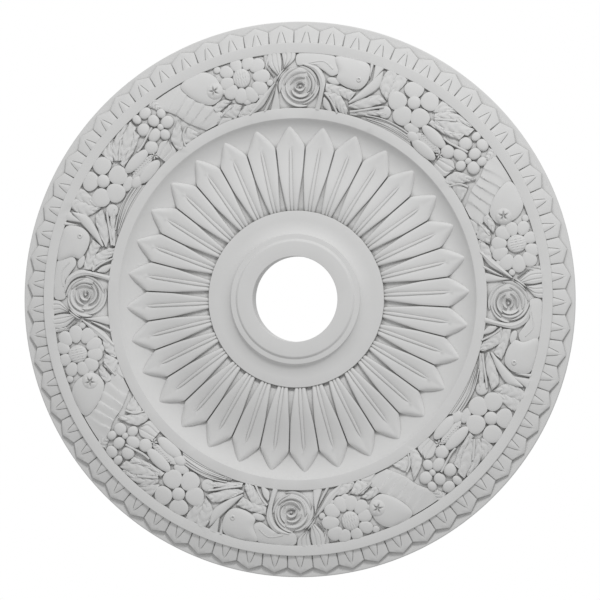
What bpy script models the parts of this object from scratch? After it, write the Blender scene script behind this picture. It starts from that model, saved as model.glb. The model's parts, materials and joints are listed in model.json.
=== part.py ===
import math

import bpy
import bmesh
from mathutils import Matrix, Vector

# Ceiling rose, one casting, in the place it has in use: the ceiling is the plane z = 0 and the
# ornament faces down. Radii run out from the hole's axis and depths run down from the ceiling.
# Angles run clockwise, as someone who looks up at the rose sees it, from the side at -Y.
# Lengths are metres and angles are degrees.

# Overall
DIAMETER = 0.600
HOLE_DIAMETER = 0.092
PROJECTION = 0.028

# Hub, from the hole outwards
BOSS_FACE = 0.0165
STEP_RUN = 0.002
STEP_DROP = 0.0025
LEDGE = 0.0055
COVE_RUN = 0.016
COVE_DROP = 0.007
SHELF = 0.0092
COVE_SHARE = 0.3                # where across the cove's run its one facet line lies

# Petal ring
PETALS = 32
PETAL_FIRST_ANGLE = -2.65
PETAL_INNER_DEPTH = 0.0172
PETAL_CREST_DEPTH = 0.0193
PETAL_LOW_DEPTH = 0.0084
PETAL_TIP_DEPTH = 0.0098
PETAL_TIP_TO_FILLET = 0.0056
PETAL_NOTCH = 0.025
PETAL_VALLEY = 0.0042
PETAL_CREASE = 0.0010
PETAL_CREST_SHARE = 0.2
PETAL_LOW_SHARE = 0.82
PETAL_SIDE_SHARE = 0.52         # where across its half width a petal stands highest
PETAL_SIDE_SETBACK = 0.32       # how far the outline falls back there, as a share of the notch
PETAL_ROWS = (0.0, 0.13, 0.5, 0.8, 1.0)
PETAL_START = 0.0003
NOTCH_GROUND = 0.003
TIP_GROUND = 0.0022

# Bowl and cavetto
BOWL_DEPTH = 0.0044
CAVETTO_RUN = 0.022
CAVETTO_SWEEP = 0.92            # how much of a quarter round the cavetto takes, as a sine

# Fillets and frieze
INNER_FILLET = 0.011
OUTER_FILLET = 0.011
FILLET_DEPTH = 0.016
FRIEZE_WIDTH = 0.0595
FRIEZE_EDGE_DEPTH = 0.0122
FRIEZE_CROWN_DEPTH = 0.0162
FRIEZE_CROWN_SHARE = 0.4        # how much of the frieze's width its flat crown takes
FRIEZE_DRAFT = 0.0008

# Border of leaves and the plate under it
LEAVES = 65
LEAF_FIRST_ANGLE = 2.0
LEAF_BAND = 0.0195
LEAF_ROOT_DEPTH = 0.0145
LEAF_TIP_DEPTH = 0.0068
LEAF_SHOULDER_SETBACK = 0.0068
LEAF_VALLEY = 0.0022
DART_LENGTH = 0.0115
DART_WIDTH = 0.009
DART_RISE = 0.0016
RIM_PLATE = 0.004
RIM_DEPTH = 0.0042

# Garland
GARLAND_REPEATS = 4
GARLAND_FIRST_ANGLE = 1.1
DRAWN_WIDTH = 59.5              # the frieze's width in the units in which the garland is drawn
ROOT_DEPTH = 4.0                # how far ornament reaches into the ground below it, drawn
EDGE_DEPTH = 0.9                # how far its edges lie under the ground, so that none stands free, drawn

# Radii that follow
OUTER_R = DIAMETER / 2
BORDER_R = OUTER_R - RIM_PLATE
LEAF_ROOT_R = BORDER_R - LEAF_BAND
FRIEZE_OUT_R = LEAF_ROOT_R - OUTER_FILLET
FRIEZE_IN_R = FRIEZE_OUT_R - FRIEZE_WIDTH
FRIEZE_MID_R = (FRIEZE_OUT_R + FRIEZE_IN_R) / 2
INNER_FILLET_R = FRIEZE_IN_R - INNER_FILLET
BOWL_R = INNER_FILLET_R - CAVETTO_RUN
HOLE_R = HOLE_DIAMETER / 2
BOSS_R = HOLE_R + BOSS_FACE
LEDGE_R = BOSS_R + STEP_RUN
COVE_R = LEDGE_R + LEDGE
SHELF_R = COVE_R + COVE_RUN
HUB_R = SHELF_R + SHELF
LEDGE_DEPTH = PROJECTION - STEP_DROP
SHELF_DEPTH = LEDGE_DEPTH - COVE_DROP
PETAL_ROOT_R = HUB_R + PETAL_START
PETAL_TIP_R = INNER_FILLET_R - PETAL_TIP_TO_FILLET
CAVETTO_FULL = 1 - math.sqrt(1 - CAVETTO_SWEEP ** 2)
DRAWN = FRIEZE_WIDTH / DRAWN_WIDTH    # one drawn unit


def on_rose(angle, radius, depth):
    """The world point at an angle, a radius and a depth below the ceiling."""
    turn = math.radians(angle)
    return Vector((radius * math.sin(turn), -radius * math.cos(turn), -depth))


def ground_depth(radius):
    """Depth of the frieze's ground, which falls away to both fillets from a flat crown."""
    share = abs(radius - FRIEZE_MID_R) / (FRIEZE_WIDTH / 2)
    fall = min(1.0, max(0.0, (share - FRIEZE_CROWN_SHARE) / (1 - FRIEZE_CROWN_SHARE)))
    return FRIEZE_CROWN_DEPTH - (FRIEZE_CROWN_DEPTH - FRIEZE_EDGE_DEPTH) * fall


def as_object(bm, name):
    """Turns a bmesh into an object in the scene."""
    mesh = bpy.data.meshes.new(name)
    bm.to_mesh(mesh)
    bm.free()
    thing = bpy.data.objects.new(name, mesh)
    bpy.context.scene.collection.objects.link(thing)
    return thing


def circle(bm, count, first_angle, radius, depth):
    """A ring of points, each kept with its angle."""
    angles = [first_angle + 360 * i / count for i in range(count)]
    return [(angle, bm.verts.new(on_rose(angle, radius, depth))) for angle in angles]


def zip_rings(bm, near, far):
    """Faces between two rings that may differ in their number of points."""
    gap = [abs((angle - near[0][0] + 180) % 360 - 180) for angle, _ in far]
    start = gap.index(min(gap))
    base = near[0][0] + (far[start][0] - near[0][0] + 180) % 360 - 180
    far = [(base + (angle - far[start][0]) % 360, vert) for angle, vert in far[start:] + far[:start]]
    near = near + [(near[0][0] + 360, near[0][1])]
    far = far + [(far[0][0] + 360, far[0][1])]
    i = j = 0
    while i < len(near) - 1 or j < len(far) - 1:
        next_near = near[i + 1][0] if i < len(near) - 1 else math.inf
        next_far = far[j + 1][0] if j < len(far) - 1 else math.inf
        if abs(next_near - next_far) < 0.001:
            bm.faces.new((near[i][1], near[i + 1][1], far[j + 1][1], far[j][1]))
            i, j = i + 1, j + 1
        elif next_near < next_far:
            bm.faces.new((near[i][1], near[i + 1][1], far[j][1]))
            i += 1
        else:
            bm.faces.new((near[i][1], far[j + 1][1], far[j][1]))
            j += 1


def cavetto_depth(radius):
    """Depth of the bowl's ground, and of the hollow rise from it to the inner fillet."""
    share = min(1.0, max(0.0, (radius - BOWL_R) / CAVETTO_RUN))
    rise = (1 - math.sqrt(1 - (CAVETTO_SWEEP * share) ** 2)) / CAVETTO_FULL
    return BOWL_DEPTH + (FILLET_DEPTH - BOWL_DEPTH) * rise


def petal_depth(share):
    """Depth of a petal's middle line, from its inner end at 0 to its tip at 1."""
    crest, low = PETAL_CREST_SHARE, PETAL_LOW_SHARE
    if share < crest:
        return PETAL_CREST_DEPTH - (PETAL_CREST_DEPTH - PETAL_INNER_DEPTH) * (1 - share / crest) ** 2
    if share < low:
        wave = 0.5 + 0.5 * math.cos(math.pi * (share - crest) / (low - crest))
        return PETAL_LOW_DEPTH + (PETAL_CREST_DEPTH - PETAL_LOW_DEPTH) * wave
    return PETAL_LOW_DEPTH + (PETAL_TIP_DEPTH - PETAL_LOW_DEPTH) * ((share - low) / (1 - low)) ** 2


def petal_rings(bm):
    """The petals from their inner ends to their pointed outline, and the foot of the outline."""
    # Across one petal: share of the half width, how far the outline falls back from the tip, and how
    # far the surface lies below the middle line
    columns = [
        (-1.0, PETAL_NOTCH, PETAL_VALLEY),
        (-PETAL_SIDE_SHARE, PETAL_NOTCH * PETAL_SIDE_SETBACK, 0.0),
        (0.0, 0.0, PETAL_CREASE),
        (PETAL_SIDE_SHARE, PETAL_NOTCH * PETAL_SIDE_SETBACK, 0.0),
    ]
    pitch = 360 / PETALS
    rings = []
    for row in PETAL_ROWS:
        ring = []
        for petal in range(PETALS):
            for side, setback, drop in columns:
                angle = PETAL_FIRST_ANGLE + pitch * (petal + side / 2)
                radius = PETAL_ROOT_R + (PETAL_TIP_R - setback - PETAL_ROOT_R) * row
                share = (radius - PETAL_ROOT_R) / (PETAL_TIP_R - PETAL_ROOT_R)
                depth = petal_depth(share) - drop * (1 - 0.45 * row)
                ring.append((angle, bm.verts.new(on_rose(angle, radius, depth))))
        rings.append(ring)
    foot = []
    for angle, vert in rings[-1]:
        radius = vert.co.to_2d().length
        foot.append((angle, bm.verts.new(on_rose(angle, radius, cavetto_depth(radius)))))
    rings.append(foot)
    # The ground reaches into each notch, so its first line goes in and out with the petals
    ground = []
    for petal in range(PETALS):
        for side, radius in ((-1.0, BOWL_R + NOTCH_GROUND), (0.0, PETAL_TIP_R + TIP_GROUND)):
            angle = PETAL_FIRST_ANGLE + pitch * (petal + side / 2)
            ground.append((angle, bm.verts.new(on_rose(angle, radius, cavetto_depth(radius)))))
    rings.append(ground)
    return rings


def leaf_border(bm, fillet_edge):
    """The border of pointed leaves, each with a raised dart at its root. It starts at the outer
    fillet's edge and returns the foot of the leaves' outline."""
    pitch = 360 / LEAVES
    root_r = LEAF_ROOT_R + FRIEZE_DRAFT
    fall = (LEAF_ROOT_DEPTH - LEAF_TIP_DEPTH) / LEAF_BAND
    dart_angle = math.degrees(DART_WIDTH / 2 / LEAF_ROOT_R)
    corners = {
        "valley": (-pitch / 2, root_r, -LEAF_VALLEY),
        "left": (-dart_angle, root_r, 0.0),
        "ridge": (0.0, root_r, DART_RISE),
        "right": (dart_angle, root_r, 0.0),
        "apex": (0.0, LEAF_ROOT_R + DART_LENGTH, 0.0),
        "shoulder": (-pitch / 2, BORDER_R - LEAF_SHOULDER_SETBACK, -LEAF_VALLEY * 0.6),
        "tip": (0.0, BORDER_R, 0.0),
    }
    units = []
    for number in range(LEAVES):
        middle = LEAF_FIRST_ANGLE + pitch * number
        unit = {}
        for name, (aside, radius, lift) in corners.items():
            depth = LEAF_ROOT_DEPTH - fall * (radius - root_r) + lift
            unit[name] = (middle + aside, bm.verts.new(on_rose(middle + aside, radius, depth)))
        units.append(unit)
    for number, unit in enumerate(units):
        after = units[(number + 1) % LEAVES]
        for face in (
            (unit["left"], unit["apex"], unit["ridge"]), (unit["ridge"], unit["apex"], unit["right"]),
            (unit["valley"], unit["shoulder"], unit["left"]), (unit["left"], unit["shoulder"], unit["apex"]),
            (unit["shoulder"], unit["tip"], unit["apex"]), (unit["apex"], unit["tip"], after["shoulder"]),
            (unit["apex"], after["shoulder"], unit["right"]), (unit["right"], after["shoulder"], after["valley"]),
        ):
            bm.faces.new([vert for _, vert in face])
    zip_rings(bm, fillet_edge, [unit[name] for unit in units for name in ("valley", "left", "ridge", "right")])
    outline = [unit[name] for unit in units for name in ("shoulder", "tip")]
    foot = [(angle, bm.verts.new((vert.co.x, vert.co.y, -RIM_DEPTH))) for angle, vert in outline]
    zip_rings(bm, outline, foot)
    return foot


def rose_body():
    """The whole rose but for its garland, as one closed skin of rings from the hole's edge round to it."""
    bm = bmesh.new()
    hub_start = PETAL_FIRST_ANGLE - 180 / PETALS
    plate_start = LEAF_FIRST_ANGLE - 180 / LEAVES

    def hub(radius, depth):
        return circle(bm, PETALS, hub_start, radius, depth)

    def plate(radius, depth):
        return circle(bm, LEAVES, plate_start, radius, depth)

    rings = [hub(HOLE_R, 0), hub(HOLE_R, PROJECTION), hub(BOSS_R, PROJECTION), hub(LEDGE_R, LEDGE_DEPTH)]
    rings.append(hub(COVE_R, LEDGE_DEPTH))
    cove_fall = COVE_DROP * math.sqrt(1 - (1 - COVE_SHARE) ** 2)
    rings.append(hub(COVE_R + COVE_RUN * COVE_SHARE, LEDGE_DEPTH - cove_fall))
    rings += [hub(SHELF_R, SHELF_DEPTH), hub(HUB_R, SHELF_DEPTH)]
    rings += petal_rings(bm)
    rings += [plate(INNER_FILLET_R, FILLET_DEPTH), plate(FRIEZE_IN_R, FILLET_DEPTH)]
    rings.append(plate(FRIEZE_IN_R + FRIEZE_DRAFT, FRIEZE_EDGE_DEPTH))
    for share in (-FRIEZE_CROWN_SHARE, FRIEZE_CROWN_SHARE):
        radius = FRIEZE_MID_R + FRIEZE_WIDTH / 2 * share
        rings.append(plate(radius, ground_depth(radius)))
    rings += [plate(FRIEZE_OUT_R - FRIEZE_DRAFT, FRIEZE_EDGE_DEPTH), plate(FRIEZE_OUT_R, FILLET_DEPTH)]
    rings.append(plate(LEAF_ROOT_R, FILLET_DEPTH))
    for near, far in zip(rings, rings[1:]):
        zip_rings(bm, near, far)

    foot = leaf_border(bm, rings[-1])
    back = [foot, plate(OUTER_R, RIM_DEPTH), plate(OUTER_R, 0), rings[0]]
    for near, far in zip(back, back[1:]):
        zip_rings(bm, near, far)
    bmesh.ops.recalc_face_normals(bm, faces=bm.faces)
    return bm


def lay(bm, angle, off, turn=0.0):
    """Lays a shape, drawn flat about its own origin, on the frieze's ground.

    Its +X runs clockwise and its +Y outwards before turn. off is its distance from the frieze's
    middle line, drawn."""
    middle = FRIEZE_MID_R + off * DRAWN
    bm.transform(Matrix.Rotation(math.radians(turn), 4, "Z"))
    for v in bm.verts:
        flat = Vector((v.co.x * DRAWN, middle + v.co.y * DRAWN))
        depth = ground_depth(flat.length) + v.co.z * DRAWN
        v.co = on_rose(angle + math.degrees(math.atan2(flat.x, flat.y)), flat.length, depth)
    return bm


def close_below(bm):
    """Gives an open sheet walls and an underside inside the ground."""
    grown = bmesh.ops.extrude_face_region(bm, geom=bm.faces[:], use_keep_orig=True)
    for part in grown["geom"]:
        if isinstance(part, bmesh.types.BMVert):
            part.co.z = -ROOT_DEPTH
    bmesh.ops.recalc_face_normals(bm, faces=bm.faces)


def ball(radius, rise, sides=5, levels=2):
    """A round fruit that stands clear of the ground by rise and narrows to a point inside it."""
    bm = bmesh.new()
    lower = bm.verts.new((0, 0, -ROOT_DEPTH))
    rings = []
    for level in range(levels):
        lean = math.pi / 2 * level / levels
        flat, height = radius * math.cos(lean), (rise + EDGE_DEPTH) * math.sin(lean) - EDGE_DEPTH
        turn = math.pi / sides * level
        rings.append([bm.verts.new((flat * math.cos(math.tau * i / sides + turn),
                                    flat * math.sin(math.tau * i / sides + turn), height))
                      for i in range(sides)])
    top = bm.verts.new((0, 0, rise))
    for i in range(sides):
        j = (i + 1) % sides
        bm.faces.new((lower, rings[0][j], rings[0][i]))
        for a, b in zip(rings, rings[1:]):
            bm.faces.new((a[i], a[j], b[i]))
            bm.faces.new((a[j], b[j], b[i]))
        bm.faces.new((rings[-1][i], rings[-1][j], top))
    bmesh.ops.recalc_face_normals(bm, faces=bm.faces)
    return bm


def leaf(length, width, rise):
    """A pointed leaf from its stalk at the origin to its tip at +X, ridged along its middle."""
    bm = bmesh.new()
    outline = ((0.0, 0.0), (0.45, -0.5), (1.0, 0.0), (0.45, 0.5))
    stalk, left, tip, right = [bm.verts.new((x * length, y * width, -EDGE_DEPTH)) for x, y in outline]
    first = bm.verts.new((length * 0.3, 0, rise))
    last = bm.verts.new((length * 0.72, 0, rise * 0.9))
    keel = bm.verts.new((length * 0.5, 0, -ROOT_DEPTH))
    for face in (
        (stalk, left, first), (left, last, first), (left, tip, last), (right, stalk, first),
        (right, first, last), (tip, right, last), (stalk, keel, left), (left, keel, tip),
        (tip, keel, right), (right, keel, stalk),
    ):
        bm.faces.new(face)
    bmesh.ops.recalc_face_normals(bm, faces=bm.faces)
    return bm


def blossom(petals, radius, notch, rise, points=2, turn=0.0):
    """An open flower: a sunk heart, a raised place on each petal and an outline that dips between
    them. points is how many outline points a petal's end has."""
    bm = bmesh.new()
    middle = bm.verts.new((0, 0, rise * 0.5))
    keel = bm.verts.new((0, 0, -ROOT_DEPTH))
    ends = {1: (0.0,), 2: (-0.2, 0.2)}[points]
    raised, rim = [], []
    for petal in range(petals):
        middle_angle = math.tau * petal / petals + math.radians(turn)
        crown = radius * 0.66
        raised.append(bm.verts.new((crown * math.cos(middle_angle), crown * math.sin(middle_angle), rise)))
        for share in (-0.5,) + ends:
            angle = middle_angle + math.tau * share / petals
            reach = notch if share == -0.5 else radius
            rim.append(bm.verts.new((reach * math.cos(angle), reach * math.sin(angle), -EDGE_DEPTH)))
    each = points + 1
    for petal in range(petals):
        after = raised[(petal + 1) % petals]
        ring = [rim[(petal * each + i) % len(rim)] for i in range(each + 1)]
        bm.faces.new((middle, raised[petal], after))
        bm.faces.new((raised[petal], ring[-1], after))
        for a, b in zip(ring, ring[1:]):
            bm.faces.new((raised[petal], a, b))
            bm.faces.new((keel, b, a))
    bmesh.ops.recalc_face_normals(bm, faces=bm.faces)
    return bm


def leaf_between(stalk, tip, width, rise):
    """A leaf laid between two places on the frieze, each an angle and a distance off its middle."""
    turn = math.radians(tip[0] - stalk[0])
    stalk_r, tip_r = FRIEZE_MID_R / DRAWN + stalk[1], FRIEZE_MID_R / DRAWN + tip[1]
    across, out = tip_r * math.sin(turn), tip_r * math.cos(turn) - stalk_r
    shape = leaf(math.hypot(across, out), width, rise)
    return lay(shape, stalk[0], stalk[1], math.degrees(math.atan2(out, across)))


def ribbon():
    """The pleated ribbon that crosses the frieze on a slant."""
    left = [(51.2, 28.0), (53.6, 17.0), (56.4, -8.0), (60.6, -28.8)]
    right = [(60.3, 28.0), (60.6, 15.0), (63.8, -2.0), (69.4, -28.8)]
    pleats = 6
    low, high = 1.8, 3.4

    def along(edge, share):
        place = share * (len(edge) - 1)
        i = min(int(place), len(edge) - 2)
        return [a + (b - a) * (place - i) for a, b in zip(edge[i], edge[i + 1])]

    bm = bmesh.new()
    rows = []
    for pleat in range(pleats):
        for share, lift in ((pleat / pleats, low), ((pleat + 0.93) / pleats, high)):
            row = []
            for edge in (left, right):
                angle, off = along(edge, share)
                row.append(bm.verts.new((angle, off, lift)))
            rows.append(row)
    for a, b in zip(rows, rows[1:]):
        bm.faces.new((a[0], a[1], b[1], b[0]))
    close_below(bm)
    for v in bm.verts:
        radius = FRIEZE_MID_R + v.co.y * DRAWN
        v.co = on_rose(v.co.x, radius, ground_depth(radius) + v.co.z * DRAWN)
    bmesh.ops.recalc_face_normals(bm, faces=bm.faces)
    return bm


def garland_repeat():
    """One repeat of the garland, as separate shapes that stand in the ground and in each other."""
    shapes = []
    # Rose of two tiers and a bud
    shapes.append(lay(blossom(5, 22.5, 18.8, 4.6), -0.4, -6.0))
    shapes.append(lay(blossom(5, 13.8, 10.8, 6.4, 1, 36), -0.1, -6.0))
    shapes.append(lay(ball(5.4, 7.4), 0.0, -6.2))
    # Orange and pomegranate
    shapes.append(lay(ball(17.4, 6.4, 8, 3), 12.8, 13.6))
    shapes.append(lay(ball(18.8, 6.8, 8, 3), 64.6, 12.4))
    # Five-petal flower and daisy, each with its round middle
    shapes.append(lay(blossom(5, 25.3, 14.0, 4.4, 2, 42), 30.2, 10.4))
    shapes.append(lay(ball(7.4, 6.2), 30.2, 10.6))
    shapes.append(lay(blossom(11, 19.4, 15.4, 4.2, 1), 75.0, 9.9))
    shapes.append(lay(ball(10.2, 6.2, 7), 75.0, 9.9))
    # The two halves of a split pod
    shapes.append(leaf_between((35.6, -9.6), (44.3, -11.0), 13.4, 5.6))
    shapes.append(leaf_between((36.0, -22.6), (44.4, -22.0), 13.0, 5.8))
    # Grapes: angle, distance off the middle line, radius
    for angle, off, radius in (
        (49.4, 23.6, 6.1), (46.8, 12.4, 6.9), (50.2, 12.4, 6.6), (47.8, 0.4, 7.6),
        (52.8, 2.2, 6.1), (44.9, -7.2, 6.9), (50.2, -7.2, 5.8),
    ):
        shapes.append(lay(ball(radius, 3.0 + radius * 0.32), angle, off))
    # Leaves: stalk and tip, each an angle and a distance off the middle line, then width and rise
    for stalk, tip, width, rise in (
        ((1.6, 25.0), (9.8, 12.0), 14.0, 4.0), ((13.0, -24.0), (7.4, 1.0), 26.0, 3.8),
        ((26.0, -9.0), (14.4, -24.0), 28.0, 4.4), ((20.2, -4.0), (23.2, 28.0), 24.0, 3.8),
        ((36.0, 0.6), (43.4, 26.0), 28.0, 4.0), ((52.8, -27.0), (45.4, -22.6), 18.0, 3.6),
        ((65.2, -25.0), (74.4, -16.8), 18.0, 4.4), ((73.0, -28.0), (83.4, 0.0), 13.0, 4.2),
        ((81.4, 28.0), (85.8, 11.6), 10.0, 3.8), ((17.9, 3.0), (19.1, 28.0), 10.0, 4.2),
    ):
        shapes.append(leaf_between(stalk, tip, width, rise))
    shapes.append(ribbon())
    return shapes


def painted_casting():
    """Matt white primer on a rigid foam casting."""
    material = bpy.data.materials.new("primed_casting")
    material.use_nodes = True
    shader = material.node_tree.nodes["Principled BSDF"]
    shader.inputs["Base Color"].default_value = (0.80, 0.80, 0.80, 1)
    shader.inputs["Roughness"].default_value = 0.7
    shader.inputs["Metallic"].default_value = 0.0
    return material


def main():
    for thing in list(bpy.data.objects):
        bpy.data.objects.remove(thing)
    rose = as_object(rose_body(), "ceiling_rose")
    rose.data.materials.append(painted_casting())

    relief = bpy.data.collections.new("relief")
    bpy.context.scene.collection.children.link(relief)
    shapes = []
    for repeat in range(GARLAND_REPEATS):
        turn = Matrix.Rotation(math.radians(GARLAND_FIRST_ANGLE + 360 / GARLAND_REPEATS * repeat), 3, "Z")
        for shape in garland_repeat():
            bmesh.ops.rotate(shape, cent=(0, 0, 0), matrix=turn, verts=shape.verts)
            shapes.append(shape)
    for number, shape in enumerate(shapes):
        added = as_object(shape, f"relief_{number}")
        relief.objects.link(added)
        bpy.context.scene.collection.objects.unlink(added)
        added.hide_render = True
        added.display_type = "WIRE"

    joined = rose.modifiers.new("relief", "BOOLEAN")
    joined.operation = "UNION"
    joined.solver = "EXACT"
    joined.operand_type = "COLLECTION"
    joined.collection = relief


main()
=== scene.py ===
import json
import math
import bpy
import bmesh
from mathutils import Matrix, Vector

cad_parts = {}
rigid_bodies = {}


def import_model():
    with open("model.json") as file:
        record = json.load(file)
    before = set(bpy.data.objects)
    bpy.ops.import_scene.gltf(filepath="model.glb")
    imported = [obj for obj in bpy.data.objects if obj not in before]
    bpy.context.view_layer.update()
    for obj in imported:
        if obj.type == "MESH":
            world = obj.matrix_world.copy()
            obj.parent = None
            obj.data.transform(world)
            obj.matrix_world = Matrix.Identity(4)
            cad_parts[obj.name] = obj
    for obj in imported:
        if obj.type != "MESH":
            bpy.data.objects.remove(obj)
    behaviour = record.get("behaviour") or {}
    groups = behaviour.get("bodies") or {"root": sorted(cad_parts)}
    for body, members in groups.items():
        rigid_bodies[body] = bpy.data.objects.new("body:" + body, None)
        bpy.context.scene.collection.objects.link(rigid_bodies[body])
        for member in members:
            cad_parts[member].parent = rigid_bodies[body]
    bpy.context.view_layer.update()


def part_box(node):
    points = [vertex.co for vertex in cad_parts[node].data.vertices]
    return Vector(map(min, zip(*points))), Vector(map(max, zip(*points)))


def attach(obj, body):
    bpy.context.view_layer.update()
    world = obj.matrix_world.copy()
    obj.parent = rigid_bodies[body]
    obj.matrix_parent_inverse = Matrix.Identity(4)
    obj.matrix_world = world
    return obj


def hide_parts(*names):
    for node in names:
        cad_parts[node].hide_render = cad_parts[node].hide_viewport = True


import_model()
roseLow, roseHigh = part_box("ceiling_rose")
print("frame loaded")

# Shapes are modelled in millimetres and brought to metres when their mesh is made.
# Angles are degrees, clockwise for someone who looks up at the rose, from the side at -Y.
# Depths run down from the ceiling, so a point at depth d lies at z = -d.
mm = 0.001
outerR = (roseHigh.x - roseLow.x) / 2 / mm
projection = -roseLow.z / mm

section = {
    "hole": 46, "bossFace": 16.5, "stepRun": 2, "stepDrop": 2.5, "ledge": 5.5,
    "coveRun": 16, "coveDrop": 7, "shelf": 9.2,
    "rim": 4, "rimDepth": 4.2, "leafBand": 19.5, "outerFillet": 11, "frieze": 59.5, "innerFillet": 11,
    "filletDepth": 16, "cavetto": 22, "cavettoRadius": 27, "bowlDepth": 4.4,
    "friezeEdge": 12.8, "friezeCrown": 16.2, "round": 0.7, "segments": 216, "triangles": 190000,
    "sharpAngle": 32,
}
holeR = section["hole"]
bossR = holeR + section["bossFace"]
ledgeR = bossR + section["stepRun"]
coveR = ledgeR + section["ledge"]
shelfR = coveR + section["coveRun"]
hubR = shelfR + section["shelf"]
borderR = outerR - section["rim"]
leafRootR = borderR - section["leafBand"]
friezeOutR = leafRootR - section["outerFillet"]
friezeInR = friezeOutR - section["frieze"]
friezeMidR = (friezeInR + friezeOutR) / 2
innerFilletR = friezeInR - section["innerFillet"]
bowlR = innerFilletR - section["cavetto"]
ledgeDepth = projection - section["stepDrop"]
shelfDepth = ledgeDepth - section["coveDrop"]


# Helpers

def onRose(angle, radius, depth):
    turn = math.radians(angle)
    return Vector((radius * math.sin(turn), -radius * math.cos(turn), -depth))


def ease(t):
    t = min(1.0, max(0.0, t))
    return t * t * (3 - 2 * t)


def edgeFall(t):  # a quarter round: 1 at the edge, t = 0, and 0 from t = 1 inwards
    left = 1 - min(1.0, max(0.0, t))
    return 1 - math.sqrt(max(0.0, 1 - left * left))


def groundDepth(radius):
    share = min(1.0, abs(radius - friezeMidR) / (section["frieze"] / 2))
    return section["friezeCrown"] - (section["friezeCrown"] - section["friezeEdge"]) * share ** 2.2


def cavettoDepth(radius):
    out = min(section["cavetto"], max(0.0, radius - bowlR))
    sweep = section["cavettoRadius"]
    return section["bowlDepth"] + sweep - math.sqrt(sweep ** 2 - out ** 2)


def closeBelow(bm, floor):  # gives an open sheet walls and an underside at z = floor
    grown = bmesh.ops.extrude_face_region(bm, geom=bm.faces[:], use_keep_orig=True)
    for part in grown["geom"]:
        if isinstance(part, bmesh.types.BMVert):
            part.co.z = floor
    bmesh.ops.recalc_face_normals(bm, faces=bm.faces)


# A closed block under a sheet: shape(u, s) gives its top, u from 0 to 1 and s from -1 to 1
def sheetOf(along, across, shape, floor):
    bm = bmesh.new()
    bmesh.ops.create_grid(bm, x_segments=along, y_segments=across, size=1)
    for v in bm.verts:
        v.co = shape((v.co.x + 1) / 2, v.co.y)
    bmesh.ops.remove_doubles(bm, verts=bm.verts, dist=0.002)
    bmesh.ops.dissolve_degenerate(bm, edges=bm.edges, dist=0.001)
    closeBelow(bm, floor)
    return bm


def betweenFillets(radius):  # ornament stops just inside the walls of the two fillets
    return min(friezeOutR + 0.2, max(friezeInR - 0.2, radius))


# Lays a shape on the frieze's ground. Before turn, its +X runs clockwise and its +Y outwards
def onFrieze(bm, angle, off, turn=0.0):
    bm.transform(Matrix.Rotation(math.radians(turn), 4, "Z"))
    for v in bm.verts:
        across, out, lift = v.co.x, friezeMidR + off + v.co.y, v.co.z
        radius = betweenFillets(math.hypot(across, out))
        depth = groundDepth(radius) + lift
        v.co = onRose(angle + math.degrees(math.atan2(across, out)), radius, depth)
    return bm


def toObject(bm, name):
    mesh = bpy.data.meshes.new(name)
    bm.to_mesh(mesh)
    bm.free()
    return bpy.data.objects.new(name, mesh)


def counted(mesh):  # triangles, with each larger face counted as its triangles
    return sum(len(face.vertices) - 2 for face in mesh.polygons)


# One mesh from a base solid and many solids that stand in it, thinned to the section's triangles
def fuse(base, solids, name):
    folder = bpy.data.collections.new(name)
    bpy.context.scene.collection.children.link(folder)
    bpy.context.scene.collection.objects.link(base)
    for number, solid in enumerate(solids):
        folder.objects.link(toObject(solid, f"{name}{number}"))
    union = base.modifiers.new("union", "BOOLEAN")
    union.operation = "UNION"
    union.solver = "MANIFOLD"
    union.operand_type = "COLLECTION"
    union.collection = folder
    mesh = bpy.data.meshes.new_from_object(base.evaluated_get(bpy.context.evaluated_depsgraph_get()))
    print(name, "fused:", counted(mesh), "triangles")
    base.modifiers.remove(union)
    base.data = mesh
    thinned = base.modifiers.new("thinned", "DECIMATE")
    thinned.ratio = min(1.0, section["triangles"] / counted(mesh))
    mesh = bpy.data.meshes.new_from_object(base.evaluated_get(bpy.context.evaluated_depsgraph_get()))
    for thing in list(folder.objects) + [base]:
        bpy.data.objects.remove(thing)
    bpy.data.collections.remove(folder)
    return mesh


# Bends copies of a flat shape, which points along +Y, into a ring round the rose's axis
def ringOf(count, firstAngle, makeOne):
    solids = []
    for number in range(count):
        bm = makeOne()
        angle = firstAngle + 360 / count * number
        for v in bm.verts:
            turn = math.degrees(math.atan2(v.co.x, v.co.y))
            v.co = onRose(angle + turn, v.co.xy.length, v.co.z)
        solids.append(bm)
    return solids


# Petal ring

petal = {
    "count": 32, "firstAngle": -2.65, "tipToFillet": 5.6, "notch": 25.2, "gap": 0.9,
    "rootHalf": 6.1, "gapLength": 40, "gapSink": 4.2, "gapSinkEnd": 2.4,
    "innerDepth": 17.4, "crestDepth": 19.0, "lowDepth": 8.4, "tipDepth": 9.6,
    "crestAt": 0.16, "lowAt": 0.8, "pillow": 1.0, "ribHalf": 1.75, "ribEndHalf": 1.2, "ribRise": 0.9,
    "ribEndsAt": 0.76, "groove": 0.6, "edgeRound": 1.3, "edgeDrop": 1.3, "floor": 2.0, "rows": 26,
    "tipSlope": 3.8, "tipSlopeDrop": 3.0, "tipSlopeStart": 9, "rootDrop": 1.4,
}
petalRootR = hubR - 0.4
petalTipR = innerFilletR - petal["tipToFillet"]
notchR = petalTipR - petal["notch"]
gapEndR = hubR + petal["gapLength"]


def petalMiddle(t):
    p = petal
    if t < p["crestAt"]:
        return p["crestDepth"] - (p["crestDepth"] - p["innerDepth"]) * (1 - t / p["crestAt"]) ** 2
    if t < p["lowAt"]:
        wave = 0.5 + 0.5 * math.cos(math.pi * (t - p["crestAt"]) / (p["lowAt"] - p["crestAt"]))
        return p["lowDepth"] + (p["crestDepth"] - p["lowDepth"]) * wave
    return p["lowDepth"] + (p["tipDepth"] - p["lowDepth"]) * ((t - p["lowAt"]) / (1 - p["lowAt"])) ** 2


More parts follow.
